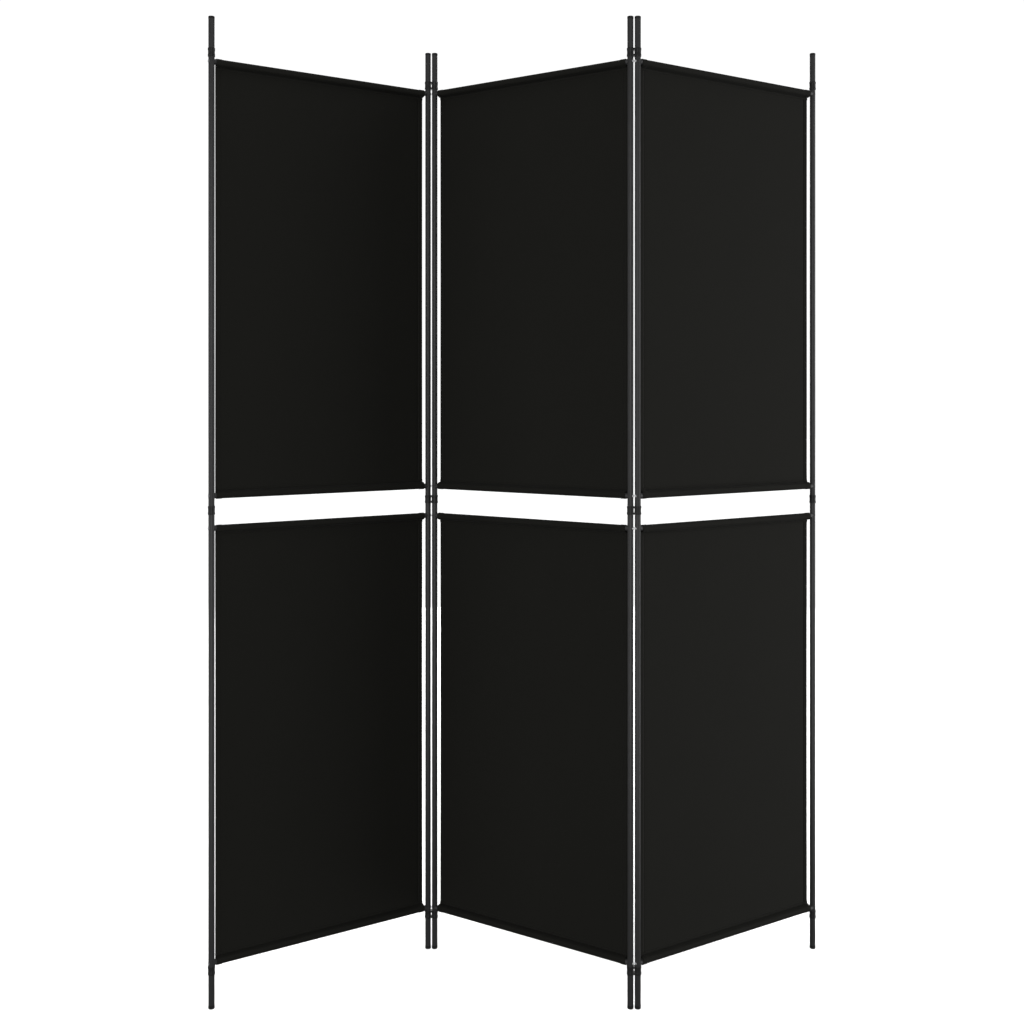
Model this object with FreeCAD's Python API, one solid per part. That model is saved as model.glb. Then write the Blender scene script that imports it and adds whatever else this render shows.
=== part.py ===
"""Folding room divider screen.

Three fabric leaves stand in a zigzag. A leaf is two thin round posts, four round cross rods and two
fabric panels, sleeved over the rods, with an open band between them. Double-eye plastic clips hold
neighbouring posts side by side and let each post turn, so that the leaves fold flat on each other.

The origin is on the floor, in the middle of the middle leaf. +X runs along the screen, +Y to the back.
"""
import FreeCAD, Part
import math
import os

os.makedirs("parts", exist_ok=True)

Vector = FreeCAD.Vector
UP = Vector(0, 0, 1)
ALONG = Vector(1, 0, 0)

# ------------------------------------------------------------------ driving dimensions, mm

# Overall
HEIGHT = 2000.0              # floor to the top of the caps
LEAF_WIDTH = 486.0           # between the axes of a leaf's two posts
STANDING_ANGLE = 31.4        # of each leaf from the line of the screen, in degrees

# Steel tubes, measured over their powder coat
POST_OD = 12.3
POST_WALL = 0.8
ROD_OD = 11.2
ROD_WALL = 0.8

# Heights of the rods
BOTTOM_ROD_HEIGHT = 91.5     # floor to the axis of the bottom rod
TOP_ROD_DROP = 91.0          # top of the caps to the axis of the top rod
BAND_SPACING = 65.5          # between the axes of the two rods beside the open band

# Fabric panels
FABRIC_THICKNESS = 0.8
FABRIC_SIDE_GAP = 5.85       # post to the side hem

# Clips and collars
CLIP_HEIGHT = 17.0
RIM_HEIGHT = 4.4
RIM_WALL = 1.1
RIM_EDGE = 0.3
WAIST_WALL = 0.65
WEB_WIDTH = 9.0
FOLD_GAP = 0.4               # between rims, or facing screw heads, of posts side by side
BOTTOM_CLIP_GAP = 0.4        # bottom clip's top to the bottom rod
TOP_CLIP_GAP = 3.9           # top rod to the top clip's foot
MIDDLE_CLIP_RISE = 3.55      # middle clip above the middle of the open band

# Screws that hold the rods between the posts
SCREW_OD = 4.0
SCREW_HEAD_OD = 6.0
SCREW_HEAD_HEIGHT = 1.1
SCREW_DRIVE_OD = 2.6
SCREW_DRIVE_DEPTH = 0.8
SCREW_ENGAGEMENT = 12.0      # of the thread in its insert
INSERT_LENGTH = 16.0
INSERT_SETBACK = 0.5

# Spigots that join each post's two tubes
SPIGOT_WALL = 1.0
SPIGOT_BEYOND = 22.0         # past the axis of each screw that crosses it
TUBE_JOINT_GAP = 0.1

# Plastic caps in the ends of the posts
TOP_CAP_HEIGHT = 5.0
TOP_CAP_LIP = 0.2            # proud of the post
TOP_CAP_ROUND = 1.2
TOP_PLUG_LENGTH = 12.0
FOOT_HEIGHT = 7.0
FOOT_LIP = 0.25
FOOT_ROUND = 1.5
FOOT_PLUG_LENGTH = 15.0
PLUG_WALL = 1.5

# Radial clearances
TURNING_FIT = 0.08           # post in the eye of a clip
SEATED_FIT = 0.05            # pieces that stay put in or on each other
SCREW_HOLE_FIT = 0.10

# ------------------------------------------------------------------ derived sizes, mm

POST_R = POST_OD / 2
POST_BORE_R = POST_R - POST_WALL
ROD_R = ROD_OD / 2
ROD_BORE_R = ROD_R - ROD_WALL
SCREW_R = SCREW_OD / 2
SCREW_HOLE_R = SCREW_R + SCREW_HOLE_FIT
PLUG_R = POST_BORE_R - SEATED_FIT
EYE_PITCH = POST_OD + 2 * max(RIM_WALL, SCREW_HEAD_HEIGHT) + FOLD_GAP

TOP_ROD_HEIGHT = HEIGHT - TOP_ROD_DROP
BAND_MIDDLE = (BOTTOM_ROD_HEIGHT + TOP_ROD_HEIGHT) / 2
ROD_HEIGHTS = {
    "bottom_rod": BOTTOM_ROD_HEIGHT,
    "lower_middle_rod": BAND_MIDDLE - BAND_SPACING / 2,
    "upper_middle_rod": BAND_MIDDLE + BAND_SPACING / 2,
    "top_rod": TOP_ROD_HEIGHT,
}
CLIP_HEIGHTS = {
    "bottom": BOTTOM_ROD_HEIGHT - ROD_R - BOTTOM_CLIP_GAP - CLIP_HEIGHT / 2,
    "middle": BAND_MIDDLE + MIDDLE_CLIP_RISE,
    "top": TOP_ROD_HEIGHT + ROD_R + TOP_CLIP_GAP + CLIP_HEIGHT / 2,
}
TUBE_JOINT_HEIGHT = CLIP_HEIGHTS["middle"]
POST_FOOT = FOOT_HEIGHT
POST_TOP = HEIGHT - TOP_CAP_HEIGHT

# Plan of the standing screen: the middle leaf's left post is at the back, its right post in front
LEAF_RUN = LEAF_WIDTH * math.cos(math.radians(STANDING_ANGLE))
LEAF_DEPTH = LEAF_WIDTH * math.sin(math.radians(STANDING_ANGLE))
HINGE_X = (LEAF_RUN + EYE_PITCH) / 2
HINGE_Y = LEAF_DEPTH / 2
LEAF_PLACES = {
    "left": (-HINGE_X - EYE_PITCH / 2 - LEAF_RUN, -HINGE_Y, STANDING_ANGLE),
    "middle": (-LEAF_RUN / 2, HINGE_Y, -STANDING_ANGLE),
    "right": (HINGE_X + EYE_PITCH / 2, -HINGE_Y, STANDING_ANGLE),
}
HINGE_PLACES = {"left": (-HINGE_X, HINGE_Y), "right": (HINGE_X, -HINGE_Y)}
END_POST_PLACES = {
    "left": (-HINGE_X - EYE_PITCH / 2 - LEAF_RUN, -HINGE_Y),
    "right": (HINGE_X + EYE_PITCH / 2 + LEAF_RUN, HINGE_Y),
}


# ------------------------------------------------------------------ shapes

def upright(radius, low, high, x=0.0):
    """A round bar along Z between two heights."""
    return Part.makeCylinder(radius, high - low, Vector(x, 0, low), UP)


def level(radius, start, end, height):
    """A round bar along X between two places, at a height."""
    return Part.makeCylinder(radius, end - start, Vector(start, 0, height), ALONG)


def turned(shape):
    """The same shape for the leaf's other post: half a turn about the leaf's middle."""
    other = shape.copy()
    other.rotate(Vector(LEAF_WIDTH / 2, 0, 0), UP, 180)
    return other


def both_ends(shapes):
    """The shapes at the left post, then their twins at the right post."""
    return shapes + [turned(shape) for shape in shapes]


def lathe(outline):
    """A solid of revolution about Z from a closed outline of (radius, height) points."""
    points = [Vector(radius, 0, height) for radius, height in outline]
    face = Part.Face(Part.makePolygon(points + points[:1]))
    return face.revolve(Vector(0, 0, 0), UP, 360)


def post_tube(low, high, screw_heights):
    """One tube of the left post, with a hole through both walls for each screw."""
    tube = upright(POST_R, low, high).cut(upright(POST_BORE_R, low - 1, high + 1))
    for height in screw_heights:
        tube = tube.cut(level(SCREW_HOLE_R, -POST_OD, POST_OD, height))
    return tube


def spigot():
    """The sleeve inside the left post that joins its two tubes; two rod screws lock it."""
    crossings = [ROD_HEIGHTS["lower_middle_rod"], ROD_HEIGHTS["upper_middle_rod"]]
    low = crossings[0] - SPIGOT_BEYOND
    high = crossings[1] + SPIGOT_BEYOND
    sleeve = upright(PLUG_R, low, high).cut(upright(PLUG_R - SPIGOT_WALL, low - 1, high + 1))
    for height in crossings:
        sleeve = sleeve.cut(level(SCREW_HOLE_R, -POST_OD, POST_OD, height))
    return sleeve


def rod(height):
    """A cross rod: a tube whose ends are coped to the round of the posts."""
    tube = level(ROD_R, 0, LEAF_WIDTH, height).cut(level(ROD_BORE_R, -1, LEAF_WIDTH + 1, height))
    for post_x in (0, LEAF_WIDTH):
        tube = tube.cut(upright(POST_R + SEATED_FIT, height - ROD_OD, height + ROD_OD, post_x))
    return tube


def rod_insert(height):
    """The threaded plug in a rod's left end."""
    start = POST_R + INSERT_SETBACK
    plug = level(ROD_BORE_R - SEATED_FIT, start, start + INSERT_LENGTH, height)
    return plug.cut(level(SCREW_R + SEATED_FIT, start - 1, start + INSERT_LENGTH + 1, height))


def rod_screw(height):
    """A domed screw through the left post into a rod, its head dished to sit on the round tube."""
    tip = POST_R + INSERT_SETBACK + SCREW_ENGAGEMENT
    crown = POST_R + SCREW_HEAD_HEIGHT
    dome = Part.makeSphere(crown, Vector(0, 0, height))
    head = level(SCREW_HEAD_OD / 2, -crown - 1, -POST_BORE_R, height).common(dome)
    head = head.cut(upright(POST_R + SEATED_FIT, height - SCREW_HEAD_OD, height + SCREW_HEAD_OD))
    drive_floor = SCREW_DRIVE_DEPTH - crown
    screw = head.fuse(level(SCREW_R, drive_floor, tip, height))
    return screw.cut(level(SCREW_DRIVE_OD / 2, -crown - 1, drive_floor, height))


def top_cap():
    """The cap in the top of the left post: a rounded head on a hollow plug."""
    head = upright(POST_R + TOP_CAP_LIP, POST_TOP, HEIGHT)
    top_rim = [edge for edge in head.Edges if edge.Closed and edge.BoundBox.ZMin > HEIGHT - 0.01]
    head = head.makeFillet(TOP_CAP_ROUND, top_rim)
    plug = upright(PLUG_R, POST_TOP - TOP_PLUG_LENGTH, POST_TOP)
    hollow = upright(PLUG_R - PLUG_WALL, POST_TOP - TOP_PLUG_LENGTH - 1, POST_TOP)
    return head.fuse(plug.cut(hollow))


def foot_cap():
    """The foot in the bottom of the left post: a rounded pad on a hollow plug."""
    pad = upright(POST_R + FOOT_LIP, 0, FOOT_HEIGHT)
    bottom_rim = [edge for edge in pad.Edges if edge.Closed and edge.BoundBox.ZMax < 0.01]
    pad = pad.makeFillet(FOOT_ROUND, bottom_rim)
    plug = upright(PLUG_R, FOOT_HEIGHT, FOOT_HEIGHT + FOOT_PLUG_LENGTH)
    hollow = upright(PLUG_R - PLUG_WALL, FOOT_HEIGHT, FOOT_HEIGHT + FOOT_PLUG_LENGTH + 1)
    return pad.fuse(plug.cut(hollow))


def fabric_panel(low, high):
    """A panel: one flat sheet behind two rods, with a snug pocket round each."""
    start = POST_R + FABRIC_SIDE_GAP
    end = LEAF_WIDTH - start
    inner = ROD_R + SEATED_FIT
    outer = inner + FABRIC_THICKNESS
    panel = Part.makeBox(end - start, FABRIC_THICKNESS, high - low, Vector(start, inner, low))
    for height in (low, high):
        panel = panel.fuse(level(outer, start, end, height))
    for height in (low, high):
        panel = panel.cut(level(inner, start - 1, end + 1, height))
    return panel.removeSplitter()


def eye(fit):
    """A ring for one post, a rim at each end and a slimmer waist, centred on z = 0."""
    bore = POST_R + fit
    rim = POST_R + RIM_WALL
    waist = POST_R + WAIST_WALL
    half = CLIP_HEIGHT / 2
    inside = half - RIM_HEIGHT
    upper = [
        (waist, inside),
        (rim - RIM_EDGE, inside),
        (rim, inside + RIM_EDGE),
        (rim, half - RIM_EDGE),
        (rim - RIM_EDGE, half),
        (bore, half),
    ]
    lower = [(radius, -height) for radius, height in reversed(upper)]
    return lathe(lower + upper)


def clip():
    """Two eyes side by side, joined by a web at each pair of rims; the waist between is open."""
    half_pitch = EYE_PITCH / 2
    body = None
    for side in (-half_pitch, half_pitch):
        ring = eye(TURNING_FIT)
        ring.translate(Vector(side, 0, 0))
        body = ring if body is None else body.fuse(ring)
    web_height = RIM_HEIGHT - 2 * RIM_EDGE
    for low in (CLIP_HEIGHT / 2 - RIM_HEIGHT + RIM_EDGE, -CLIP_HEIGHT / 2 + RIM_EDGE):
        corner = Vector(-half_pitch, -WEB_WIDTH / 2, low)
        body = body.fuse(Part.makeBox(EYE_PITCH, WEB_WIDTH, web_height, corner))
    for side in (-half_pitch, half_pitch):
        body = body.cut(upright(POST_R + TURNING_FIT, -CLIP_HEIGHT, CLIP_HEIGHT, side))
    return body


# ------------------------------------------------------------------ nodes

def leaf_pieces():
    """Every piece of one leaf, its left post's axis at the origin and its right post along +X."""
    rods = ROD_HEIGHTS
    lower_holes = [rods["bottom_rod"], rods["lower_middle_rod"]]
    upper_holes = [rods["upper_middle_rod"], rods["top_rod"]]
    lower_tube = post_tube(POST_FOOT, TUBE_JOINT_HEIGHT - TUBE_JOINT_GAP / 2, lower_holes)
    upper_tube = post_tube(TUBE_JOINT_HEIGHT + TUBE_JOINT_GAP / 2, POST_TOP, upper_holes)
    sleeve = spigot()
    pieces = {
        "left_post_lower": [lower_tube],
        "left_post_upper": [upper_tube],
        "left_spigot": [sleeve],
        "right_post_lower": [turned(lower_tube)],
        "right_post_upper": [turned(upper_tube)],
        "right_spigot": [turned(sleeve)],
        "rod_inserts": both_ends([rod_insert(height) for height in rods.values()]),
        "rod_screws": both_ends([rod_screw(height) for height in rods.values()]),
        "top_caps": both_ends([top_cap()]),
        "foot_caps": both_ends([foot_cap()]),
        "lower_fabric": [fabric_panel(rods["bottom_rod"], rods["lower_middle_rod"])],
        "upper_fabric": [fabric_panel(rods["upper_middle_rod"], rods["top_rod"])],
    }
    for name, height in rods.items():
        pieces[name] = [rod(height)]
    return pieces


def write_node(name, solids, x=0.0, y=0.0, angle=0.0):
    """Write one node: its solids, turned about Z and then moved to their place in plan."""
    placed = []
    for solid in solids:
        copy = solid.copy()
        copy.rotate(Vector(0, 0, 0), UP, angle)
        copy.translate(Vector(x, y, 0))
        placed.append(copy)
    shape = placed[0] if len(placed) == 1 else Part.makeCompound(placed)
    shape.exportStep(f"parts/{name}.step")


def raised(shape, height):
    """A copy of a shape, moved up."""
    copy = shape.copy()
    copy.translate(Vector(0, 0, height))
    return copy


leaf = leaf_pieces()
for leaf_name, (leaf_x, leaf_y, leaf_angle) in LEAF_PLACES.items():
    for piece_name, piece_solids in leaf.items():
        write_node(f"{leaf_name}_leaf_{piece_name}", piece_solids, leaf_x, leaf_y, leaf_angle)

hinge_clip = clip()
for hinge_name, (hinge_x, hinge_y) in HINGE_PLACES.items():
    for level_name, clip_height in CLIP_HEIGHTS.items():
        write_node(f"{hinge_name}_hinge_{level_name}_clip", [raised(hinge_clip, clip_height)], hinge_x, hinge_y)

collar = eye(SEATED_FIT)
for end_name, (end_x, end_y) in END_POST_PLACES.items():
    collars = [raised(collar, height) for height in CLIP_HEIGHTS.values()]
    write_node(f"{end_name}_end_collars", collars, end_x, end_y)
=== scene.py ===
"""Looks of the folding room divider screen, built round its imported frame.

The frame gives every place: where the posts stand, how high the rods are and where the clips sit. Each
leaf is built with its left post's axis at the origin and its right post along +X, and is then put in its
place. Lengths are in metres.
"""
import logging
import math
from dataclasses import dataclass, field, replace
from enum import Enum
from typing import Iterable

import bmesh
import bpy
from mathutils import Matrix, Vector


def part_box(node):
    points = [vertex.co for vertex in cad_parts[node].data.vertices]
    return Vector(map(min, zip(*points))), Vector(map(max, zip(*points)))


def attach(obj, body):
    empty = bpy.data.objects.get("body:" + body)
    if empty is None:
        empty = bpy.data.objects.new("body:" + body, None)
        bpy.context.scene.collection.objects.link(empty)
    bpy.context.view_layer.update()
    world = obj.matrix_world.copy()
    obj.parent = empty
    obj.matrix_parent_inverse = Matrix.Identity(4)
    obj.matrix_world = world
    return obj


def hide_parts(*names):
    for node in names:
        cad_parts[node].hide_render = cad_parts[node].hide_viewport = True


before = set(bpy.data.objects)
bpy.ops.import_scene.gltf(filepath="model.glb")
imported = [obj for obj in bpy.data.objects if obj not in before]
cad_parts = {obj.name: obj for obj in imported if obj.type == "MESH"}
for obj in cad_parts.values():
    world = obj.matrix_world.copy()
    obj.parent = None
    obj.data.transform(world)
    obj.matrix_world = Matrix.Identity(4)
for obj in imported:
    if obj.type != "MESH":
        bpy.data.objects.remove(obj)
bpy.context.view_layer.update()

LOG = logging.getLogger("screen")
MM = 0.001
NEAR = 1e-6          # lengths closer than this are the same
WELD = 1e-7          # vertices closer than this are merged
MIX_LOW, MIX_HIGH, MIX_RESULT = 6, 7, 2      # the Mix node's colour inputs and output
CLIP_LEVELS = ("bottom", "middle", "top")
RODS = ("bottom_rod", "lower_middle_rod", "upper_middle_rod", "top_rod")

Outline = list[tuple[float, float]]
Color = tuple[float, float, float, float]
Mesh = bmesh.types.BMesh
Material = bpy.types.Material
Socket = bpy.types.NodeSocket


class Slot(Enum):
    """The record's material slots."""

    FRAME = "frame_coat"
    CLIP = "clip_plastic"
    CAP = "cap_plastic"
    SCREW = "screw_zinc"
    STEEL = "bare_steel"
    FABRIC = "screen_fabric"


class End(Enum):
    """The two posts of a leaf: the sign of the direction from the post to the rods."""

    LEFT = 1
    RIGHT = -1


# ---- finishes

@dataclass
class NodeSheet:
    """A new material's node tree, with short ways to add and join its nodes."""

    name: str
    material: Material = field(init=False)
    shader: bpy.types.ShaderNode = field(init=False)

    def __post_init__(self) -> None:
        """Makes the material and keeps its principled shader."""
        self.material = bpy.data.materials.new(self.name)
        self.material.use_nodes = True
        self.shader = self.material.node_tree.nodes["Principled BSDF"]

    def fill(self, socket: Socket, value: object) -> None:
        """Joins an output to an input, or sets the input to a value.

        Args:
            socket: The input.
            value: The output or the value.
        """
        if isinstance(value, Socket):
            self.material.node_tree.links.new(value, socket)
        else:
            socket.default_value = value

    def add(self, kind: str, output: int | str, inputs: dict, **settings: object) -> Socket:
        """Adds a node.

        Args:
            kind: The node's type name.
            output: Which of its outputs is wanted.
            inputs: An output or a value for each input that is used.
            settings: Values for the node's own properties.

        Returns:
            The wanted output.
        """
        node = self.material.node_tree.nodes.new(kind)
        for key, value in settings.items():
            setattr(node, key, value)
        for key, value in inputs.items():
            self.fill(node.inputs[key], value)
        return node.outputs[output]

    def coordinates(self, output: str) -> Socket:
        """Gives one output of the texture coordinates, such as Object or UV."""
        return self.add("ShaderNodeTexCoord", output, {})

    def math(self, operation: str, *values: object) -> Socket:
        """Adds a sum of numbers and outputs, named as the Math node names it."""
        return self.add("ShaderNodeMath", 0, dict(enumerate(values)), operation=operation)

    def noise(self, vector: Socket, scale: float, detail: float = 2.0) -> Socket:
        """Adds noise from 0 to 1, with a scale in cells to a metre."""
        inputs = {"Scale": scale, "Detail": detail, "Vector": vector}
        return self.add("ShaderNodeTexNoise", "Fac", inputs)

    def stretched(self, vector: Socket, scale: tuple[float, float, float]) -> Socket:
        """Scales coordinates along each axis, to draw a pattern out."""
        return self.add("ShaderNodeMapping", "Vector", {"Scale": scale, "Vector": vector})

    def between(self, factor: Socket, low: float, high: float) -> Socket:
        """Maps a factor from 0 to 1 onto a span of numbers."""
        return self.add("ShaderNodeMapRange", "Result", {"To Min": low, "To Max": high, "Value": factor})

    def blend_colors(self, factor: Socket, low: Color, high: Color) -> Socket:
        """Mixes two colours: the first where the factor is 0, the second where it is 1."""
        inputs = {0: factor, MIX_LOW: low, MIX_HIGH: high}
        return self.add("ShaderNodeMix", MIX_RESULT, inputs, data_type="RGBA")

    def bump(self, height: Socket, distance: float, strength: float = 1.0,
             under: Socket | None = None) -> Socket:
        """Adds a bump.

        Args:
            height: The relief, from 0 to 1.
            distance: The relief's height in metres.
            strength: How much of it shows.
            under: The normal of a coarser bump below it.

        Returns:
            The bumped normal.
        """
        inputs = {"Distance": distance, "Strength": strength, "Height": height}
        if under is not None:
            inputs["Normal"] = under
        return self.add("ShaderNodeBump", "Normal", inputs)

    def set(self, **values: object) -> None:
        """Fills the shader's own sockets; an underscore stands for a space."""
        for key, value in values.items():
            self.fill(self.shader.inputs[key.replace("_", " ")], value)


@dataclass(frozen=True)
class PowderCoat:
    """Satin black powder coat: a faint orange peel, a fine grain and slightly uneven gloss."""

    deep: Color = (0.060, 0.060, 0.061, 1.0)
    pale: Color = (0.078, 0.078, 0.079, 1.0)
    peel_scale: float = 420.0
    peel_depth: float = 0.00003
    grain_scale: float = 2600.0
    grain_depth: float = 0.000006
    cloud_scale: float = 38.0
    smooth: float = 0.36
    rough: float = 0.44

    def material(self) -> Material:
        """Builds the material.

        Returns:
            The material.
        """
        sheet = NodeSheet("powder_coat")
        place = sheet.coordinates("Object")
        drift = sheet.noise(place, self.cloud_scale, 3.0)
        peel = sheet.noise(place, self.peel_scale, 1.0)
        grain = sheet.noise(place, self.grain_scale)
        normal = sheet.bump(peel, self.peel_depth)
        normal = sheet.bump(grain, self.grain_depth, under=normal)
        sheet.set(
            Base_Color=sheet.blend_colors(drift, self.deep, self.pale),
            Roughness=sheet.between(drift, self.smooth, self.rough),
            Normal=normal,
        )
        return sheet.material


@dataclass(frozen=True)
class MouldedPlastic:
    """Black moulded plastic with a spark-eroded grain, rubbed a little smoother in patches."""

    name: str = "moulded_plastic"
    deep: Color = (0.015, 0.015, 0.015, 1.0)
    pale: Color = (0.027, 0.027, 0.027, 1.0)
    grain_scale: float = 1900.0
    grain_depth: float = 0.00002
    rub_scale: float = 140.0
    smooth: float = 0.38
    rough: float = 0.52

    def material(self) -> Material:
        """Builds the material.

        Returns:
            The material.
        """
        sheet = NodeSheet(self.name)
        place = sheet.coordinates("Object")
        rubbed = sheet.noise(place, self.rub_scale, 3.0)
        grain = sheet.noise(place, self.grain_scale, 3.0)
        sheet.set(
            Base_Color=sheet.blend_colors(grain, self.deep, self.pale),
            Roughness=sheet.between(rubbed, self.smooth, self.rough),
            Normal=sheet.bump(grain, self.grain_depth),
        )
        return sheet.material


@dataclass(frozen=True)
class PlatedSteel:
    """Steel with a zinc plate or drawn bare: fine scratches and a cloudy shine. A near-white colour with
    low metal, as given for the screws, is a painted white reflection.
    """

    name: str
    deep: Color
    pale: Color
    smooth: float
    rough: float
    metal: float = 1.0
    cloud_scale: float = 900.0
    scratch_scale: float = 5200.0
    scratch_stretch: float = 0.06
    scratch_depth: float = 0.000006

    def material(self) -> Material:
        """Builds the material.

        Returns:
            The material.
        """
        sheet = NodeSheet(self.name)
        place = sheet.coordinates("Object")
        cloud = sheet.noise(place, self.cloud_scale, 4.0)
        drawn = sheet.stretched(place, (1.0, 1.0, self.scratch_stretch))
        scratch = sheet.noise(drawn, self.scratch_scale)
        sheet.set(
            Base_Color=sheet.blend_colors(cloud, self.deep, self.pale),
            Metallic=self.metal,
            Roughness=sheet.between(cloud, self.smooth, self.rough),
            Normal=sheet.bump(scratch, self.scratch_depth),
        )
        return sheet.material


@dataclass(frozen=True)
class WovenFabric:
    """Plain-woven black polyester, read on the cloth's own flat coordinates in metres.

    Attributes:
        pitch: From one thread to the next.
        relief: Height of the crossings.
        slub_relief: Height of the thicker threads.
        slub_run: Changes of a thread's thickness, to a metre of its length.
        cloud_scale: Cloudy patches to a metre.
    """

    pitch: float = 0.00055
    relief: float = 0.00009
    slub_relief: float = 0.00004
    slub_run: float = 14.0
    cloud_scale: float = 9.0
    deep: Color = (0.0150, 0.0148, 0.0122, 1.0)
    pale: Color = (0.0215, 0.0212, 0.0176, 1.0)

    def material(self) -> Material:
        """Builds the material.

        Returns:
            The material.
        """
        sheet = NodeSheet("woven_fabric")
        flat = sheet.coordinates("UV")
        across = sheet.add("ShaderNodeSeparateXYZ", 0, {0: flat})
        along = across.node.outputs[1]
        turns = math.pi / self.pitch
        warp = sheet.math("SINE", sheet.math("MULTIPLY", across, turns))
        weft = sheet.math("SINE", sheet.math("MULTIPLY", along, turns))
        crossing = sheet.math("MULTIPLY", warp, weft)
        over_under = sheet.math("MULTIPLY_ADD", crossing, 0.5, 0.5)
        threads = 1.0 / self.pitch
        warp_slub = sheet.noise(sheet.stretched(flat, (threads, self.slub_run, 1.0)), 0.9)
        weft_slub = sheet.noise(sheet.stretched(flat, (self.slub_run, threads, 1.0)), 0.9)
        slub = sheet.math("MULTIPLY", sheet.math("ADD", warp_slub, weft_slub), 0.5)
        cloud = sheet.noise(flat, self.cloud_scale, 3.0)
        tone = sheet.math("ADD", sheet.math("MULTIPLY", slub, 0.7), sheet.math("MULTIPLY", cloud, 0.3))
        normal = sheet.bump(slub, self.slub_relief, 0.6)
        normal = sheet.bump(over_under, self.relief, 0.7, under=normal)
        sheet.set(
            Base_Color=sheet.blend_colors(tone, self.deep, self.pale),
            Roughness=sheet.between(slub, 0.74, 0.86),
            Specular_IOR_Level=0.22,
            Sheen_Weight=0.05,
            Sheen_Roughness=0.45,
            Normal=normal,
        )
        return sheet.material


@dataclass(frozen=True)
class SewingThread:
    """Twisted black polyester thread, a little glossier than the cloth."""

    color: Color = (0.018, 0.018, 0.017, 1.0)
    shaded: Color = (0.010, 0.010, 0.009, 1.0)
    twist_scale: float = 2400.0
    twist_depth: float = 0.00005

    def material(self) -> Material:
        """Builds the material.

        Returns:
            The material.
        """
        sheet = NodeSheet("sewing_thread")
        place = sheet.coordinates("Object")
        twist = sheet.noise(place, self.twist_scale, 1.0)
        sheet.set(
            Base_Color=sheet.blend_colors(twist, self.shaded, self.color),
            Roughness=0.55,
            Normal=sheet.bump(twist, self.twist_depth),
        )
        return sheet.material


# ---- mesh work

def lathe(outline: Outline, steps: int) -> Mesh:
    """Turns a closed outline once round Z.

    Args:
        outline: Its corners, as (radius, height); radius 0 is on the axis.
        steps: Faces round the shape.

    Returns:
        A mesh with welded seam and poles and outward faces.
    """
    mesh = bmesh.new()
    verts = [mesh.verts.new((radius, 0.0, height)) for radius, height in outline]
    edges = [mesh.edges.new(pair) for pair in zip(verts, verts[1:] + verts[:1])]
    bmesh.ops.spin(
        mesh, geom=verts + edges, cent=(0, 0, 0), axis=(0, 0, 1), angle=math.tau, steps=steps,
        use_merge=True)
    bmesh.ops.remove_doubles(mesh, verts=mesh.verts, dist=WELD)
    on_axis = [edge for edge in mesh.edges if not edge.link_faces]
    bmesh.ops.delete(mesh, geom=on_axis, context="EDGES")
    bmesh.ops.recalc_face_normals(mesh, faces=mesh.faces)
    return mesh


def round_edges(mesh: Mesh, width: float, segments: int, angle: float = 35.0) -> None:
    """Rounds every edge sharper than an angle.

    Args:
        mesh: The mesh.
        width: How far the rounding reaches on each side.
        segments: Its faces.
        angle: The least angle between two faces, in degrees.
    """
    limit = math.radians(angle)
    sharp = [edge for edge in mesh.edges if edge.is_manifold and edge.calc_face_angle(0.0) > limit]
    bmesh.ops.bevel(
        mesh, geom=sharp, offset=width, offset_type="OFFSET", segments=segments, profile=0.5,
        affect="EDGES", material=-1, clamp_overlap=True)


def copies(mesh: Mesh, places: Iterable[Matrix]) -> Mesh:
    """Repeats a mesh at several places and frees it.

    Args:
        mesh: The mesh to repeat.
        places: Where each copy goes.

    Returns:
        The mesh that holds every copy.
    """
    whole = bmesh.new()
    for place in places:
        copy = mesh.copy()
        bmesh.ops.transform(copy, matrix=place, verts=copy.verts)
        carrier = bpy.data.meshes.new("carrier")
        copy.to_mesh(carrier)
        copy.free()
        whole.from_mesh(carrier)
        bpy.data.meshes.remove(carrier)
    mesh.free()
    return whole


def lay_along_x(mesh: Mesh) -> None:
    """Turns an upright mesh about Y until it lies along X."""
    quarter = Matrix.Rotation(math.pi / 2, 3, "Y")
    bmesh.ops.rotate(mesh, verts=mesh.verts, cent=(0, 0, 0), matrix=quarter)


def show(name: str, data: bpy.types.ID) -> bpy.types.Object:
    """Puts data in the scene.

    Args:
        name: The object's name.
        data: Its mesh, light or camera.

    Returns:
        The object.
    """
    made = bpy.data.objects.new(name, data)
    bpy.context.scene.collection.objects.link(made)
    return made


@dataclass(frozen=True)
class Piece:
    """What is said of a finished piece: its name, its body, its slot and the nodes it stands for."""

    name: str
    body: str
    slot: Slot
    nodes: tuple[str, ...] = ()

    def make(self, mesh: Mesh, place: Matrix, material: Material,
             smooth_under: float = 32.0) -> bpy.types.Object:
        """Makes the piece's object from a mesh, at the origin with its place in its mesh.

        Args:
            mesh: The mesh, which is freed.
            place: From the mesh's own axes to the frame's.
            material: Its finish.
            smooth_under: Edges flatter than this many degrees are shaded smooth.

        Returns:
            The object.
        """
        bmesh.ops.transform(mesh, matrix=place, verts=mesh.verts)
        data = bpy.data.meshes.new(self.name)
        mesh.to_mesh(data)
        mesh.free()
        data.shade_smooth()
        data.set_sharp_from_angle(angle=math.radians(smooth_under))
        data.materials.append(material)
        made = show(self.name, data)
        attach(made, self.body)
        if self.nodes:
            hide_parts(*self.nodes)
        LOG.info("%s: %d faces, on %s", self.name, len(data.polygons), self.body)
        return made


# ---- places read from the frame

def middle_of(node: str) -> Vector:
    """Gives the middle of a node's box."""
    low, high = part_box(node)
    return (low + high) / 2


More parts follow.
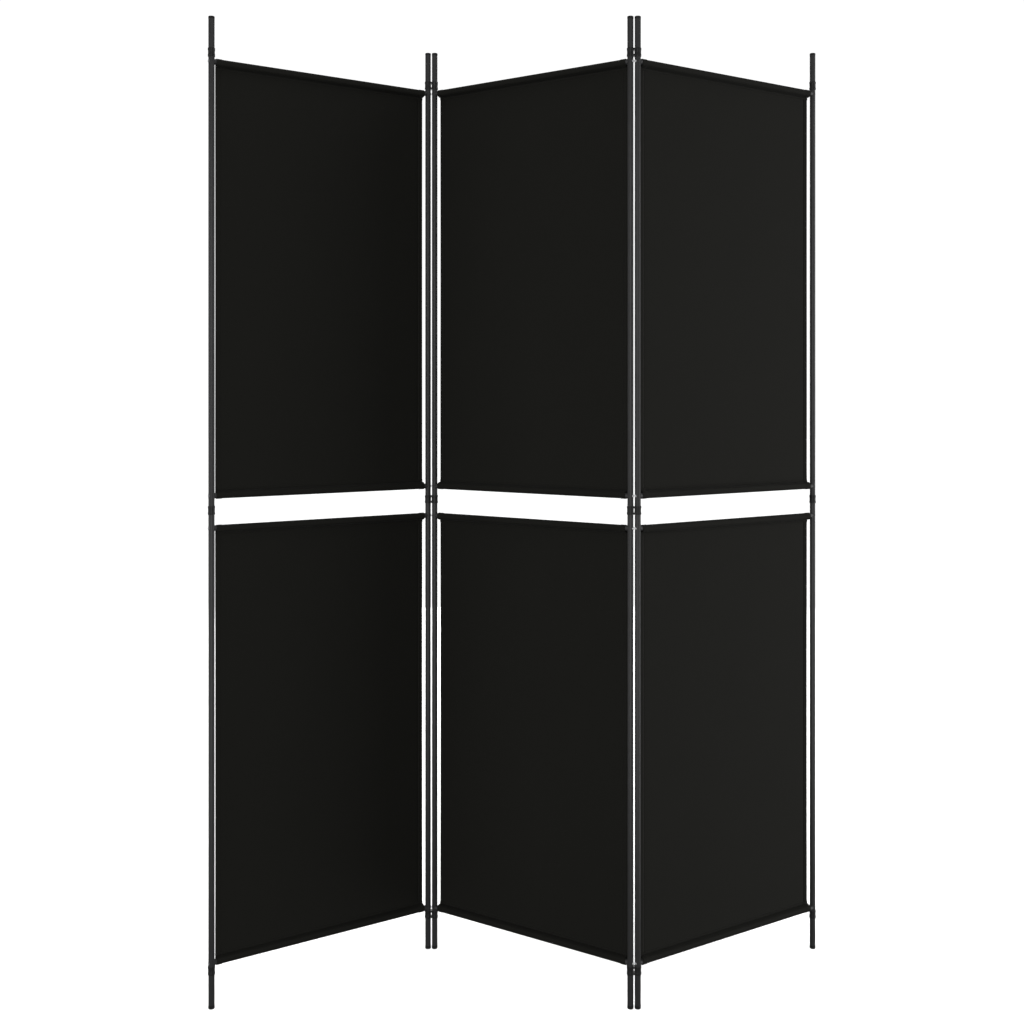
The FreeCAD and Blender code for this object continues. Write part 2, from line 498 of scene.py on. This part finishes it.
@dataclass(frozen=True)
class LeafPlace:
    """Where one leaf stands: left, middle or right."""

    name: str

    @property
    def body(self) -> str:
        """The leaf's body."""
        return f"{self.name}_leaf"

    def node(self, piece: str) -> str:
        """Gives the full name of one of the leaf's nodes."""
        return f"{self.name}_leaf_{piece}"

    def post(self, end: End) -> Vector:
        """Finds the foot of a post's axis, on the floor.

        Args:
            end: Which post.

        Returns:
            The foot's place.
        """
        side = "left" if end is End.LEFT else "right"
        middle = middle_of(self.node(f"{side}_post_lower"))
        return Vector((middle.x, middle.y, 0.0))

    @property
    def width(self) -> float:
        """From post axis to post axis."""
        return (self.post(End.RIGHT) - self.post(End.LEFT)).length

    @property
    def matrix(self) -> Matrix:
        """From the leaf's own axes to the frame's."""
        start = self.post(End.LEFT)
        along = self.post(End.RIGHT) - start
        return Matrix.Translation(start) @ Matrix.Rotation(math.atan2(along.y, along.x), 4, "Z")

    def at_post(self, end: End, height: float = 0.0) -> Matrix:
        """Places a piece that is built for the left post, with +X towards the rods.

        Args:
            end: The post it goes to.
            height: How far it is raised.

        Returns:
            Its place in the leaf's own axes.
        """
        if end is End.LEFT:
            return Matrix.Translation((0, 0, height))
        return Matrix.Translation((self.width, 0, height)) @ Matrix.Rotation(math.pi, 4, "Z")

    def rod_height(self, rod: str) -> float:
        """Gives the height of a rod's axis."""
        return middle_of(self.node(rod)).z


# ---- sub-assemblies

@dataclass
class TubeFrame:
    """The coated tubes of one leaf: two posts, each in two lengths, and four coped cross rods."""

    place: LeafPlace
    coat: Material
    post_radius: float = 6.15 * MM
    rod_radius: float = 5.6 * MM
    wall: float = 0.8 * MM
    cope_gap: float = 0.05 * MM
    end_round: float = 0.25 * MM
    steps: int = 56

    def tube(self, radius: float, start: float, end: float) -> Mesh:
        """Makes an upright tube with softly rounded ends.

        Args:
            radius: Its outer radius.
            start: Its lower end.
            end: Its upper end.

        Returns:
            The tube.
        """
        bore = radius - self.wall
        mesh = lathe([(bore, start), (radius, start), (radius, end), (bore, end)], self.steps)
        round_edges(mesh, self.end_round, 2, 60.0)
        return mesh

    def rod(self) -> Mesh:
        """Makes a rod along +X, each end hollowed to sit on its post.

        Returns:
            The rod, between the axes of the posts.
        """
        seat = self.post_radius + self.cope_gap
        width = self.place.width
        mesh = self.tube(self.rod_radius, seat, width - seat)
        lay_along_x(mesh)
        for vert in mesh.verts:
            hollow = seat - math.sqrt(seat ** 2 - vert.co.y ** 2)
            vert.co.x += -hollow if vert.co.x < width / 2 else hollow
        return mesh

    def build(self) -> None:
        """Builds the posts and the rods."""
        for end in End:
            side = end.name.lower()
            for part in ("lower", "upper"):
                node = self.place.node(f"{side}_post_{part}")
                low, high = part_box(node)
                post = self.tube(self.post_radius, low.z, high.z)
                where = self.place.matrix @ self.place.at_post(end)
                Piece(f"{node}_tube", self.place.body, Slot.FRAME, (node,)).make(post, where, self.coat)
        for rod in RODS:
            node = self.place.node(rod)
            where = self.place.matrix @ Matrix.Translation((0, 0, self.place.rod_height(rod)))
            Piece(f"{node}_tube", self.place.body, Slot.FRAME, (node,)).make(self.rod(), where, self.coat)


@dataclass
class RodScrews:
    """The screws of one leaf: a low domed head on the post, with a hex socket, and a plain shank."""

    place: LeafPlace
    zinc: Material
    post_radius: float = 6.2 * MM
    crown: float = 7.25 * MM
    head_radius: float = 3.0 * MM
    head_rim: float = 0.18 * MM
    socket: float = 1.25 * MM
    socket_depth: float = 0.8 * MM
    shank_radius: float = 2.0 * MM
    tip: float = -18.65 * MM
    tip_chamfer: float = 0.6 * MM
    socket_lead: float = 0.1 * MM
    socket_cone: float = 0.3 * MM
    steps: int = 36

    def dome(self, radius: float) -> float:
        """Gives the head's height over the post's axis at a distance from the screw's axis."""
        return math.sqrt(self.crown ** 2 - radius ** 2)

    def screw(self) -> Mesh:
        """Makes a screw along +Z, over a post whose axis runs along X through the origin.

        Returns:
            The screw.
        """
        floor = self.crown - self.socket_depth
        mouth = self.socket * 1.08
        slope = self.head_radius - self.head_rim - mouth
        outline = [(0.0, floor - self.socket_cone), (self.socket * 0.8, floor), (self.socket, floor)]
        outline += [(self.socket, self.dome(mouth) - self.socket_lead)]
        for step in range(5):
            radius = mouth + slope * step / 4
            outline.append((radius, self.dome(radius)))
        outline += [
            (self.head_radius, self.dome(self.head_radius) - self.head_rim),
            (self.head_radius, self.post_radius),
            (self.shank_radius, self.post_radius),
            (self.shank_radius, self.tip + self.tip_chamfer),
            (self.shank_radius * 0.7, self.tip),
            (0.0, self.tip),
        ]
        mesh = lathe(outline, self.steps)
        sixth = math.pi / 3
        for vert in mesh.verts:
            reach = math.hypot(vert.co.x, vert.co.y)
            if abs(reach - self.socket) < NEAR:
                turn = (math.atan2(vert.co.y, vert.co.x) + sixth / 2) % sixth - sixth / 2
                vert.co.xy *= math.cos(sixth / 2) / math.cos(turn)
            if abs(vert.co.z - self.post_radius) < NEAR and reach > self.shank_radius * 0.9:
                vert.co.z = math.sqrt(self.post_radius ** 2 - vert.co.y ** 2)
        bmesh.ops.recalc_face_normals(mesh, faces=mesh.faces)
        return mesh

    def build(self) -> None:
        """Builds the eight screws as one piece."""
        outward = Matrix.Rotation(-math.pi / 2, 4, "Y")
        places = [
            self.place.at_post(end, self.place.rod_height(rod)) @ outward for end in End for rod in RODS
        ]
        node = self.place.node("rod_screws")
        Piece(f"{node}_domed", self.place.body, Slot.SCREW, (node,)).make(
            copies(self.screw(), places), self.place.matrix, self.zinc)


@dataclass
class PostCaps:
    """The plastic pieces in the ends of one leaf's posts: rounded caps above, padded feet below."""

    place: LeafPlace
    plastic: Material
    tube_bore: float = 5.3 * MM
    cap_radius: float = 6.35 * MM
    cap_height: float = 5.0 * MM
    cap_crown: float = 0.35 * MM
    cap_round: float = 1.2 * MM
    foot_radius: float = 6.4 * MM
    foot_height: float = 7.0 * MM
    foot_round: float = 1.5 * MM
    plug_wall: float = 1.5 * MM
    cap_plug: float = 12.0 * MM
    foot_plug: float = 15.0 * MM
    groove: float = 0.3 * MM
    shadow: float = 0.2 * MM
    plug_chamfer: float = 0.8 * MM
    plug_root: float = 0.1 * MM
    steps: int = 56

    def quarter(self, radius: float, height: float, turn: float, upward: bool) -> Outline:
        """Draws a quarter round between a side and an end.

        Args:
            radius: The side's radius.
            height: The end's height.
            turn: The round's own radius.
            upward: True where the end is at the top.

        Returns:
            The points, from the side to the end.
        """
        points = []
        for step in range(7):
            angle = math.pi / 2 * step / 6
            rise = turn * (1 - math.sin(angle))
            inset = turn * (1 - math.cos(angle))
            points.append((radius - inset, height - rise if upward else height + rise))
        return points

    def cap(self, top: float) -> Mesh:
        """Makes a top cap on the Z axis.

        Args:
            top: The height of its top.

        Returns:
            The cap: a slightly crowned head over a shadow groove and a hollow plug.
        """
        seat = top - self.cap_height
        edge = self.quarter(self.cap_radius, top - self.cap_crown, self.cap_round, True)
        outline = [(0.0, top), (self.cap_radius * 0.45, top - self.cap_crown * 0.3), *reversed(edge)]
        outline += [(self.cap_radius, seat + self.shadow), (self.cap_radius - self.shadow, seat)]
        outline += self.plug(seat, -self.cap_plug)
        return lathe(outline, self.steps)

    def plug(self, seat: float, reach: float) -> Outline:
        """Draws the hollow plug that goes in the tube.

        Args:
            seat: The height where it leaves the head.
            reach: How far it goes, negative downwards.

        Returns:
            The points, from its root out, round its end and back in to the axis.
        """
        end = seat + reach
        chamfer = math.copysign(self.plug_chamfer, reach)
        floor = seat + math.copysign(self.plug_root, reach)
        return [
            (self.tube_bore, seat),
            (self.tube_bore, end - chamfer),
            (self.tube_bore - abs(chamfer), end),
            (self.tube_bore - self.plug_wall, end),
            (self.tube_bore - self.plug_wall, floor),
            (0.0, floor),
        ]

    def foot(self, bottom: float) -> Mesh:
        """Makes a foot on the Z axis.

        Args:
            bottom: The height of the floor.

        Returns:
            The foot: a rounded pad with a ring groove underneath and a hollow plug.
        """
        seat = bottom + self.foot_height
        flat = self.foot_radius - self.foot_round
        outline = [(0.0, bottom), (flat * 0.5, bottom), (flat * 0.5 + self.groove, bottom + self.groove)]
        outline += [(flat * 0.5 + 2 * self.groove, bottom), (flat * 0.97, bottom)]
        outline += reversed(self.quarter(self.foot_radius, bottom, self.foot_round, False))
        outline += [(self.foot_radius, seat - self.shadow), (self.foot_radius - self.shadow, seat)]
        outline += self.plug(seat, self.foot_plug)
        return lathe(outline, self.steps)

    def build(self) -> None:
        """Builds the two caps as one piece and the two feet as another."""
        caps, feet = self.place.node("top_caps"), self.place.node("foot_caps")
        both = [self.place.at_post(end) for end in End]
        top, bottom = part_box(caps)[1].z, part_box(feet)[0].z
        for node, mesh in ((caps, self.cap(top)), (feet, self.foot(bottom))):
            Piece(f"{node}_moulded", self.place.body, Slot.CAP, (node,)).make(
                copies(mesh, both), self.place.matrix, self.plastic)


@dataclass
class Eye:
    """One moulded eye for a post: a rim at each end and a slimmer waist between them."""

    bore: float
    rim_radius: float = 7.25 * MM
    waist_radius: float = 6.8 * MM
    height: float = 17.0 * MM
    rim_height: float = 4.4 * MM
    bore_lead: float = 0.25 * MM
    steps: int = 48

    def mesh(self) -> Mesh:
        """Makes the eye round the Z axis, centred on z = 0.

        Returns:
            The eye, before its edges are rounded.
        """
        half = self.height / 2
        inside = half - self.rim_height
        lead = self.bore + self.bore_lead
        upper = [
            (self.waist_radius, inside), (self.rim_radius, inside), (self.rim_radius, half),
            (lead, half), (self.bore, half - self.bore_lead),
        ]
        lower = [(radius, -height) for radius, height in reversed(upper)]
        return lathe(lower + upper, self.steps)


@dataclass
class PostClips:
    """The double-eye clips at one pair of posts, or the single collars on one end post."""

    plastic: Material
    turning_bore: float = 6.23 * MM
    seated_bore: float = 6.2 * MM
    web_half: float = 4.5 * MM
    soften: float = 0.42 * MM

    def faces_other_eye(self, face: bmesh.types.BMFace, eye: Eye, pitch: float) -> bool:
        """Tells whether a face is on the outside of a rim and looks at the other eye.

        Args:
            face: A face of either eye.
            eye: The eyes' sizes.
            pitch: From one eye's axis to the other's.

        Returns:
            True where the web joins the rim.
        """
        x, y, z = face.calc_center_median()
        on_rim = abs(z) > eye.height / 2 - eye.rim_height + NEAR and abs(face.normal.z) < 0.1
        outside = math.hypot(abs(x) - pitch / 2, y) > eye.waist_radius + 0.1 * MM
        return on_rim and outside and abs(y) < self.web_half and face.normal.x * x < 0

    def double(self, pitch: float) -> Mesh:
        """Makes a clip along X: two eyes whose facing rims are opened and bridged into webs.

        Args:
            pitch: From one eye's axis to the other's.

        Returns:
            The clip, centred on the origin.
        """
        eye = Eye(self.turning_bore)
        halves = copies(eye.mesh(), [Matrix.Translation((side * pitch / 2, 0, 0)) for side in (-1, 1)])
        facing = [face for face in halves.faces if self.faces_other_eye(face, eye, pitch)]
        for level in (1, -1):
            group = [face for face in facing if face.is_valid and face.calc_center_median().z * level > 0]
            border = [
                edge for face in group for edge in face.edges
                if sum(other in group for other in edge.link_faces) == 1
            ]
            bmesh.ops.delete(halves, geom=group, context="FACES")
            bmesh.ops.bridge_loops(halves, edges=[edge for edge in set(border) if edge.is_valid])
        bmesh.ops.recalc_face_normals(halves, faces=halves.faces)
        round_edges(halves, self.soften, 3, 40.0)
        return halves

    def single(self) -> Mesh:
        """Makes a collar.

        Returns:
            The collar, centred on the origin.
        """
        mesh = Eye(self.seated_bore).mesh()
        round_edges(mesh, self.soften, 3, 40.0)
        return mesh

    def build_hinge(self, side: str) -> None:
        """Builds the three clips of one hinge.

        Args:
            side: left or right.
        """
        for level in CLIP_LEVELS:
            node = f"{side}_hinge_{level}_clip"
            low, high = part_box(node)
            pitch = high.x - low.x - 2 * Eye.rim_radius
            where = Matrix.Translation(middle_of(node))
            Piece(f"{node}_moulded", f"{side}_hinge", Slot.CLIP, (node,)).make(
                self.double(pitch), where, self.plastic)

    def build_collars(self, side: str) -> None:
        """Builds the three collars of one end post as one piece, level with the clips.

        Args:
            side: left or right.
        """
        node = f"{side}_end_collars"
        axis = middle_of(node)
        heights = [middle_of(f"left_hinge_{level}_clip").z for level in CLIP_LEVELS]
        places = [Matrix.Translation((axis.x, axis.y, height)) for height in heights]
        Piece(f"{node}_moulded", f"{side}_leaf", Slot.CLIP, (node,)).make(
            copies(self.single(), places), Matrix.Identity(4), self.plastic)


@dataclass(frozen=True)
class ClothPoint:
    """A point on the middle of the cloth, seen along the rods.

    Attributes:
        depth: Towards the back.
        height: Above the floor, or above a rod's axis.
        outward: The cloth's outer side, as (depth, height).
        run: How far along the flat cloth it is.
    """

    depth: float
    height: float
    outward: tuple[float, float]
    run: float


@dataclass
class FabricPanel:
    """One fabric panel: cut flat, hemmed down both sides, and sewn into a snug pocket round each rod.

    Attributes:
        layer: From one layer of cloth to the next where it is folded.
        front_gap: From the axis of the leaf's front post to the panel's side edge.
        rear_gap: The same at its rear post.
        seam_drop: From a rod's axis to the seam that closes its pocket.
        flap: The turned edge below the seam, sewn flat on the panel.
        hem_edge: How far the hem goes on before it slopes down.
        edge_clear: Free of stitches and waves beside the turned edge.
        ripple: Height of the small puckers beside the seams.
        drift: Height of the slow waves in the sheet.
        waist: How far the sides draw in at half height.
        stitch_rise: Of a stitch's middle over the cloth, in radii.
    """

    place: LeafPlace
    name: str
    rods: tuple[str, str]
    cloth: Material
    thread: Material
    rod_radius: float = 5.6 * MM
    thickness: float = 0.5 * MM
    layer: float = 0.56 * MM
    slack: float = 0.05 * MM
    front_gap: float = 9.4 * MM
    rear_gap: float = 11.6 * MM
    hem_width: float = 10.0 * MM
    hem_edge: float = 0.5 * MM
    hem_ramp: float = 2.2 * MM
    seam_drop: float = 9.4 * MM
    flap: float = 5.0 * MM
    edge_clear: float = 1.0 * MM
    calm_reach: float = 16.0 * MM
    ripple: float = 0.12 * MM
    ripple_start: float = 14.0 * MM
    ripple_fade: float = 45.0 * MM
    ripple_waves: tuple[float, float] = (31.0 * MM, 47.0 * MM)
    drift: float = 0.15 * MM
    waist: float = 0.3 * MM
    column: float = 7.0 * MM
    row: float = 8.0 * MM
    stitch_pitch: float = 4.0 * MM
    stitch_length: float = 3.1 * MM
    stitch_radius: float = 0.2 * MM
    stitch_rise: float = 0.35
    stitch_inset: float = 2.0 * MM
    seam_margin: float = 1.5 * MM

    def __post_init__(self) -> None:
        """Reads the rods' heights and works out the pocket's size."""
        self.low, self.high = (self.place.rod_height(rod) for rod in self.rods)
        faces_left = self.place.post(End.LEFT).y < self.place.post(End.RIGHT).y
        self.start = self.front_gap if faces_left else self.rear_gap
        self.width = self.place.width - self.front_gap - self.rear_gap
        self.pocket = self.rod_radius + self.slack + self.thickness / 2
        self.clear = self.seam_drop + self.flap + self.edge_clear
        self.proud = self.thickness / 2 + self.stitch_radius * self.stitch_rise

    def pocket_run(self) -> list[ClothPoint]:
        """Follows the cloth from its turned edge, round the front and top of a rod, to the panel's back.

        Returns:
            Points whose heights are over the rod's axis.
        """
        front = self.pocket - self.layer
        seam = Vector((front, -self.seam_drop))
        bend = Vector((-self.pocket, -0.82 * self.seam_drop))
        fall = Vector((-self.pocket, -0.36 * self.seam_drop))
        points = []
        for step in range(4):
            run = self.flap * step / 4
            points.append(ClothPoint(front, -self.seam_drop - self.flap + run, (-1.0, 0.0), run))
        run = self.flap
        before = seam
        for step in range(9):
            share = step / 8
            spot = seam.lerp(bend, share).lerp(bend.lerp(fall, share), share)
            along = (bend - seam).lerp(fall - bend, share)
            slope = Vector((-along.y, along.x)).normalized()
            outward = Vector((-1.0, 0.0)).lerp(slope, min(1.0, step / 2)).normalized()
            run += (spot - before).length
            before = spot
            points.append(ClothPoint(spot.x, spot.y, tuple(outward), run))
        run -= fall.y
        turns = 26
        for step in range(turns + 1):
            turned = math.pi * step / turns
            way = (math.cos(math.pi - turned), math.sin(math.pi - turned))
            spot = self.pocket * Vector(way)
            points.append(ClothPoint(spot.x, spot.y, way, run + self.pocket * turned))
        return points

    def cloth_run(self) -> list[ClothPoint]:
        """Follows the whole cloth, from the turned edge at the top to the one at the bottom.

        Returns:
            Its points, with heights above the floor.
        """
        pocket = self.pocket_run()
        around = pocket[-1].run
        fall = self.high - self.low
        rows = max(2, round(fall / self.row))
        line = [replace(point, height=self.high + point.height) for point in pocket]
        for step in range(1, rows):
            drop = fall * step / rows
            line.append(ClothPoint(self.pocket, self.high - drop, (1.0, 0.0), around + drop))
        for point in reversed(pocket):
            outward = (point.outward[0], -point.outward[1])
            run = 2 * around + fall - point.run
            line.append(ClothPoint(point.depth, self.low - point.height, outward, run))
        return line

    def lift_at(self, across: float) -> float:
        """Finds how far the outer layer stands off the inner one.

        Args:
            across: From the panel's left edge.

        Returns:
            The lift.
        """
        past_hem = min(across, self.width - across) - self.hem_width - self.hem_edge
        share = min(1.0, max(0.0, past_hem / self.hem_ramp))
        return self.layer * (1 + math.cos(math.pi * share)) / 2

    def width_run(self) -> list[tuple[float, float, float]]:
        """Follows the cloth across, through both folded hems.

        Returns:
            Points as (place from the left edge, lift off the inner layer, run along the cloth).
        """
        bend = self.layer / 2
        hem = [(self.hem_width + (bend - self.hem_width) * step / 3, 0.0) for step in range(4)]
        for step in range(1, 6):
            angle = math.pi * step / 6
            hem.append((bend - bend * math.sin(angle), bend - bend * math.cos(angle)))
        crest = self.hem_width + self.hem_edge
        outer = [bend + (crest - bend) * step / 3 for step in range(4)]
        outer += [crest + self.hem_ramp * step / 4 for step in range(1, 5)]
        hem += [(place, self.lift_at(place)) for place in outer]
        inner = outer[-1]
        open_width = self.width - 2 * inner
        columns = max(2, round(open_width / self.column))
        across = hem + [(inner + open_width * step / columns, 0.0) for step in range(1, columns)]
        across += [(self.width - place, lift) for place, lift in reversed(hem)]
        run = 0.0
        points = [(*across[0], run)]
        for before, after in zip(across, across[1:]):
            run += math.dist(before, after)
            points.append((*after, run))
        return points

    def flat_size(self) -> tuple[float, float]:
        """Gives the width and the length that the cloth is cut to."""
        return self.width_run()[-1][2], self.cloth_run()[-1].run

    def relief(self, across: float, height: float) -> float:
        """Finds how far the sheet stands off its plane.

        Args:
            across: From the panel's left edge.
            height: Above the floor.

        Returns:
            The distance towards the back.
        """
        from_top = self.high - height
        seed = sum(ord(letter) for letter in self.place.name + self.name)
        short, long = self.ripple_waves
        pucker = 0.0
        for near, phase in ((from_top, seed * 0.7), (height - self.low, seed * 1.3)):
            fade = math.exp(-max(0.0, near - self.ripple_start) / self.ripple_fade)
            wave = math.sin(math.tau * across / short + phase)
            wave += 0.6 * math.sin(math.tau * across / long + 2.1 * phase)
            pucker += self.ripple * fade * wave
        share = from_top / (self.high - self.low)
        slow = math.sin(math.pi * share) * math.sin(math.tau * across / (0.39 + 0.01 * (seed % 7)) + seed)
        cross = math.sin(math.tau * across / 0.21 + 0.4 * seed)
        slow += 0.5 * math.sin(math.tau * share * 1.5 + seed) * cross
        open_share = (min(from_top, height - self.low) - self.clear) / self.calm_reach
        open_share = min(1.0, max(0.0, open_share))
        calm = open_share * open_share * (3 - 2 * open_share)
        return calm * (pucker + self.drift * slow)

    def drawn_in(self, across: float, height: float) -> float:
        """Finds how far a point is drawn in towards the panel's middle.

        Args:
            across: From the panel's left edge.
            height: Above the floor.

        Returns:
            The distance towards the right.
        """
        share = (self.high - height) / (self.high - self.low)
        if not 0.0 < share < 1.0:
            return 0.0
        lean = 1 - 2 * across / self.width
        return self.waist * math.sin(math.pi * share) * lean

    def sheet_mesh(self) -> Mesh:
        """Cuts the cloth as a flat grid, then lays every point of it where it is sewn.

        Returns:
            The cloth's middle surface, with the flat grid as its UV map.
        """
        across = self.width_run()
        down = self.cloth_run()
        mesh = bmesh.new()
        bmesh.ops.create_grid(mesh, x_segments=len(across) - 1, y_segments=len(down) - 1, size=1.0)
        uv_map = mesh.loops.layers.uv.new("flat")
        cut = {}
        for vert in mesh.verts:
            column = round((vert.co.x + 1) / 2 * (len(across) - 1))
            line = round((vert.co.y + 1) / 2 * (len(down) - 1))
            place, lift, width_run = across[column]
            point = down[line]
            cut[vert] = (width_run, point.run)
            wave = self.relief(place, point.height) if point.outward == (1.0, 0.0) else 0.0
            vert.co = (
                self.start + place + self.drawn_in(place, point.height),
                point.depth + point.outward[0] * lift + wave,
                point.height + point.outward[1] * lift,
            )
        for face in mesh.faces:
            for corner in face.loops:
                corner[uv_map].uv = cut[corner.vert]
        bmesh.ops.recalc_face_normals(mesh, faces=mesh.faces)
        return mesh

    def stitch(self) -> Mesh:
        """Makes one stitch along X.

        Returns:
            A short, low bead of thread.
        """
        mesh = bmesh.new()
        bmesh.ops.create_uvsphere(mesh, u_segments=6, v_segments=4, radius=1.0)
        lay_along_x(mesh)
        bmesh.ops.scale(
            mesh, verts=mesh.verts, vec=(self.stitch_length / 2, self.stitch_radius, self.stitch_radius))
        return mesh

    def stitch_run(self, start: float, length: float) -> list[float]:
        """Spaces stitches evenly along a seam.

        Args:
            start: Where the seam starts.
            length: How long it is.

        Returns:
            The middle of each stitch.
        """
        count = int(length / self.stitch_pitch)
        return [start + self.stitch_pitch * (step + 0.5) for step in range(count)]

    def seam_places(self) -> list[Matrix]:
        """Places the stitches of the two level seams, on the front and on the back.

        Returns:
            The place of each stitch.
        """
        drop = self.seam_drop + self.stitch_inset
        places = []
        for height in (self.high - drop, self.low + drop):
            for across in self.stitch_run(self.seam_margin, self.width - 2 * self.seam_margin):
                rise = self.lift_at(across) + self.proud
                for depth in (self.pocket - self.layer - rise, self.pocket + rise):
                    places.append(Matrix.Translation((self.start + across, depth, height)))
        return places

    def hem_places(self) -> list[Matrix]:
        """Places the stitches of the two side hems, on the front and on the back.

        Returns:
            The place of each stitch.
        """
        upright = Matrix.Rotation(math.pi / 2, 4, "Y")
        line = self.hem_width - self.stitch_inset
        places = []
        for across in (line, self.width - line):
            for height in self.stitch_run(self.low + self.clear, self.high - self.low - 2 * self.clear):
                wave = self.relief(across, height)
                x = self.start + across + self.drawn_in(across, height)
                for depth in (self.pocket - self.proud, self.pocket + self.layer + self.proud):
                    places.append(Matrix.Translation((x, depth + wave, height)) @ upright)
        return places

    def build(self) -> None:
        node = self.place.node(self.name)
        body = self.place.body
        cloth = Piece(f"{node}_cloth", body, Slot.FABRIC, (node,)).make(
            self.sheet_mesh(), self.place.matrix, self.cloth, 50.0)
        thick = cloth.modifiers.new("cloth_thickness", "SOLIDIFY")
        thick.thickness = self.thickness
        thick.offset = 0.0
        thick.use_even_offset = False
        rows = copies(self.stitch(), self.seam_places() + self.hem_places())
        stitching = Piece(f"{node}_stitching", body, Slot.FABRIC).make(
            rows, self.place.matrix, self.thread, 60.0)
        rods = [f"{self.place.node(rod)}_tube" for rod in self.rods]
        self.flat_size()


# ---- studio

@dataclass(frozen=True)
class SoftBox:
    """A large soft light: where its middle is, its width and height, its watts and what it faces."""

    name: str
    spot: tuple[float, float, float]
    size: tuple[float, float]
    power: float
    aim: tuple[float, float, float] = (0.0, 0.0, 1.0)

    def build(self) -> None:
        """Builds the light."""
        data = bpy.data.lights.new(self.name, "AREA")
        data.shape = "RECTANGLE"
        data.size, data.size_y = self.size
        data.energy = self.power
        light = show(self.name, data)
        light.location = self.spot
        way = Vector(self.aim) - Vector(self.spot)
        light.rotation_euler = way.to_track_quat("-Z", "Y").to_euler()
        light.visible_camera = False


@dataclass
class Studio:
    """The pale floor, the white surroundings, the soft lights and the camera."""

    sky_light: float = 1.05
    floor_size: float = 60.0
    floor_light: float = 4.2
    floor_light_spread: float = math.radians(120)
    lens: float = 40.6
    sensor: float = 36.0
    eye: tuple[float, float, float] = (0.0, -2.455, 1.237)
    shift: tuple[float, float] = (-0.01514, -0.1146)
    boxes: tuple[SoftBox, ...] = (
        SoftBox("front_box", (-0.15, -4.2, 1.0), (2.2, 5.0), 54.0),
        SoftBox("right_box", (3.0, -0.45, 1.0), (1.6, 4.5), 40.0),
        SoftBox("left_box", (-3.2, -1.6, 1.0), (2.0, 4.5), 26.0),
        SoftBox("back_box", (0.0, 4.2, 1.2), (3.0, 4.5), 130.0),
        SoftBox("top_box", (0.0, -0.6, 4.6), (3.0, 3.0), 20.0),
    )

    def surroundings(self) -> None:
        """Makes the world white for the camera alone, so that only the soft boxes light the screen."""
        world = bpy.data.worlds.new("surroundings")
        world.use_nodes = True
        background = world.node_tree.nodes["Background"]
        background.inputs["Color"].default_value = (1.0, 1.0, 1.0, 1.0)
        background.inputs["Strength"].default_value = self.sky_light
        rays = world.cycles_visibility
        rays.diffuse = rays.glossy = rays.transmission = rays.scatter = False
        bpy.context.scene.world = world

    def floor(self) -> None:
        """Lays the floor, lit by a broad light of its own, without its glare on the black tubes."""
        mesh = bmesh.new()
        bmesh.ops.create_grid(mesh, x_segments=2, y_segments=2, size=self.floor_size / 2)
        data = bpy.data.meshes.new("floor")
        mesh.to_mesh(data)
        mesh.free()
        sheet = NodeSheet("pale_floor")
        sheet.set(Base_Color=(0.88, 0.88, 0.88, 1.0), Roughness=0.9, Specular_IOR_Level=0.0)
        data.materials.append(sheet.material)
        ground = show("floor", data)
        ground.visible_diffuse = ground.visible_glossy = ground.visible_shadow = False
        lamp = bpy.data.lights.new("floor_sun", "SUN")
        lamp.energy = self.floor_light
        lamp.angle = self.floor_light_spread
        sun = show("floor_sun", lamp)
        sun.location = (0.0, 0.0, 5.0)
        lit = bpy.data.collections.new("lit_by_floor_sun")
        lit.objects.link(ground)
        sun.light_linking.receiver_collection = lit
        sun.light_linking.blocker_collection = lit

    def camera(self) -> None:
        """Sets the camera."""
        data = bpy.data.cameras.new("camera")
        data.lens = self.lens
        data.sensor_width = self.sensor
        data.shift_x, data.shift_y = self.shift
        camera = show("camera", data)
        camera.location = self.eye
        camera.rotation_euler = (math.pi / 2, 0.0, 0.0)
        bpy.context.scene.camera = camera

    def build(self) -> None:
        """Builds the studio."""
        bpy.context.scene.view_settings.view_transform = "Standard"
        self.surroundings()
        self.floor()
        self.camera()
        for box in self.boxes:
            box.build()


# ---- the screen

@dataclass
class Screen:
    """The whole screen: three leaves, two hinges and two end posts' collars."""

    coat: Material
    clip: Material
    cap: Material
    zinc: Material
    steel: Material
    cloth: Material
    thread: Material

    def leaf(self, name: str) -> None:
        """Builds one leaf.

        Args:
            name: left, middle or right.
        """
        place = LeafPlace(name)
        TubeFrame(place, self.coat).build()
        RodScrews(place, self.zinc).build()
        PostCaps(place, self.cap).build()
        for panel, rods in (("lower_fabric", RODS[:2]), ("upper_fabric", RODS[2:])):
            FabricPanel(place, panel, rods, self.cloth, self.thread).build()
        for hidden in ("left_spigot", "right_spigot", "rod_inserts"):
            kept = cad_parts[place.node(hidden)]
            kept.data.materials.clear()
            kept.data.materials.append(self.steel)

    def build(self) -> None:
        """Builds every piece."""
        for name in ("left", "middle", "right"):
            self.leaf(name)
        clips = PostClips(self.clip)
        for side in ("left", "right"):
            clips.build_hinge(side)
            clips.build_collars(side)


def main() -> None:
    """Builds the studio and the screen."""
    logging.basicConfig(level=logging.INFO, format="%(name)s: %(message)s")
    Studio().build()
    Screen(
        coat=PowderCoat().material(),
        clip=MouldedPlastic("clip_plastic").material(),
        cap=MouldedPlastic("cap_plastic", smooth=0.48, rough=0.62).material(),
        # Screw heads: real zinc plate, but the near-white colour with only part metal is a painted white
        # reflection of bright surroundings.
        zinc=PlatedSteel(
            "zinc_painted_white_reflection", (0.88, 0.89, 0.90, 1.0), (0.96, 0.96, 0.97, 1.0), 0.24, 0.36, 0.45).material(),
        steel=PlatedSteel(
            "bare_steel", (0.34, 0.34, 0.35, 1.0), (0.50, 0.50, 0.51, 1.0), 0.3, 0.5).material(),
        cloth=WovenFabric().material(),
        thread=SewingThread().material(),
    ).build()


if __name__ == "__main__":
    main()
